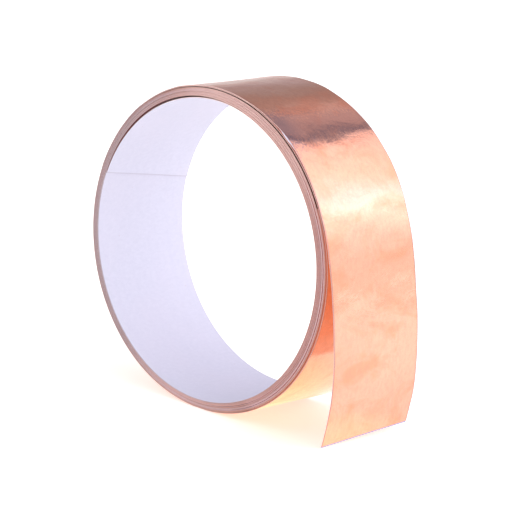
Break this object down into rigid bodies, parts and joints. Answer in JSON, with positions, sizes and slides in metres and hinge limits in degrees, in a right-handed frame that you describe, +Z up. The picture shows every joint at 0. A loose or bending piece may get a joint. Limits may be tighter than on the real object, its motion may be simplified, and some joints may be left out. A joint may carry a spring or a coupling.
{
  "type": "copper foil tape roll",
  "caption": "Coreless roll of wide adhesive copper foil tape on a white release liner, standing on edge with its free end hanging to the ground.",
  "frame": {"origin": "the point of the flat that the roll stands on which is straight below the roll's axis, half way across the tape's width, at ground level", "axes": "+Z up; Y along the roll's axis, so that from -Y the tape winds clockwise as it goes outward; the free end hangs on the +X side"},
  "size_m": [0.0866, 0.03, 0.0812],
  "materials": {
    "copper_foil": "gloss",
    "acrylic_adhesive": "satin",
    "release_liner": "matte"
  },
  "bodies": {
    "roll": {"wound_liner": "release_liner", "wound_adhesive": "acrylic_adhesive", "wound_foil": "copper_foil"},
    "inner_flap": {"inner_flap_liner": "release_liner", "inner_flap_adhesive": "acrylic_adhesive", "inner_flap_foil": "copper_foil"},
    "inner_tip": {"inner_tip_liner": "release_liner", "inner_tip_adhesive": "acrylic_adhesive", "inner_tip_foil": "copper_foil"},
    "tail_1": {"tail_1_liner": "release_liner", "tail_1_adhesive": "acrylic_adhesive", "tail_1_foil": "copper_foil"},
    "tail_2": {"tail_2_liner": "release_liner", "tail_2_adhesive": "acrylic_adhesive", "tail_2_foil": "copper_foil"},
    "tail_3": {"tail_3_liner": "release_liner", "tail_3_adhesive": "acrylic_adhesive", "tail_3_foil": "copper_foil"},
    "tail_4": {"tail_4_liner": "release_liner", "tail_4_adhesive": "acrylic_adhesive", "tail_4_foil": "copper_foil"},
    "tail_5": {"tail_5_liner": "release_liner", "tail_5_adhesive": "acrylic_adhesive", "tail_5_foil": "copper_foil"},
    "tail_6": {"tail_6_liner": "release_liner", "tail_6_adhesive": "acrylic_adhesive", "tail_6_foil": "copper_foil"},
    "pull_tab": {"pull_tab_adhesive": "acrylic_adhesive", "pull_tab_foil": "copper_foil"}
  },
  "joints": [
    {"name": "inner_end_lift", "type": "hinge", "parent": "roll", "child": "inner_flap", "pos_m": [-0.0113, 0, 0.07641], "axis": [0, -1, 0], "range_deg": [0, 15], "stiffness_Nm_per_rad": 0.002},
    {"name": "inner_tip_bend", "type": "hinge", "parent": "inner_flap", "child": "inner_tip", "pos_m": [-0.02666, 0, 0.06747], "axis": [0, -1, 0], "range_deg": [0, 15]},
    {"name": "tail_lift", "type": "hinge", "parent": "roll", "child": "tail_1", "pos_m": [0.04042, 0, 0.05278], "axis": [0, -1, 0], "range_deg": [-2.8, 6], "stiffness_Nm_per_rad": 0.01},
    {"name": "tail_bend_2", "type": "hinge", "parent": "tail_1", "child": "tail_2", "pos_m": [0.04273, 0, 0.04438], "axis": [0, -1, 0], "range_deg": [-7.6, 16.29]},
    {"name": "tail_bend_3", "type": "hinge", "parent": "tail_2", "child": "tail_3", "pos_m": [0.04434, 0, 0.0358], "axis": [0, -1, 0], "range_deg": [-9.2, 19.71]},
    {"name": "tail_bend_4", "type": "hinge", "parent": "tail_3", "child": "tail_4", "pos_m": [0.04559, 0, 0.02713], "axis": [0, -1, 0], "range_deg": [-7.2, 15.43]},
    {"name": "tail_bend_5", "type": "hinge", "parent": "tail_4", "child": "tail_5", "pos_m": [0.04611, 0, 0.01837], "axis": [0, -1, 0], "range_deg": [-6, 12.86]},
    {"name": "tail_bend_6", "type": "hinge", "parent": "tail_5", "child": "tail_6", "pos_m": [0.04561, 0, 0.00961], "axis": [0, -1, 0], "range_deg": [-4.8, 10.29]},
    {"name": "foil_peel", "type": "hinge", "parent": "tail_6", "child": "pull_tab", "pos_m": [0.04518, 0, 0.00719], "axis": [0, -1, 0], "range_deg": [0, 110], "stiffness_Nm_per_rad": 0.00002}
  ],
  "couplings": [
    {"joint": "inner_tip_bend", "follows": "inner_end_lift", "ratio": 1},
    {"joint": "tail_bend_2", "follows": "tail_lift", "ratio": 2.7143},
    {"joint": "tail_bend_3", "follows": "tail_lift", "ratio": 3.2857},
    {"joint": "tail_bend_4", "follows": "tail_lift", "ratio": 2.5714},
    {"joint": "tail_bend_5", "follows": "tail_lift", "ratio": 2.1429},
    {"joint": "tail_bend_6", "follows": "tail_lift", "ratio": 1.7143}
  ]
}
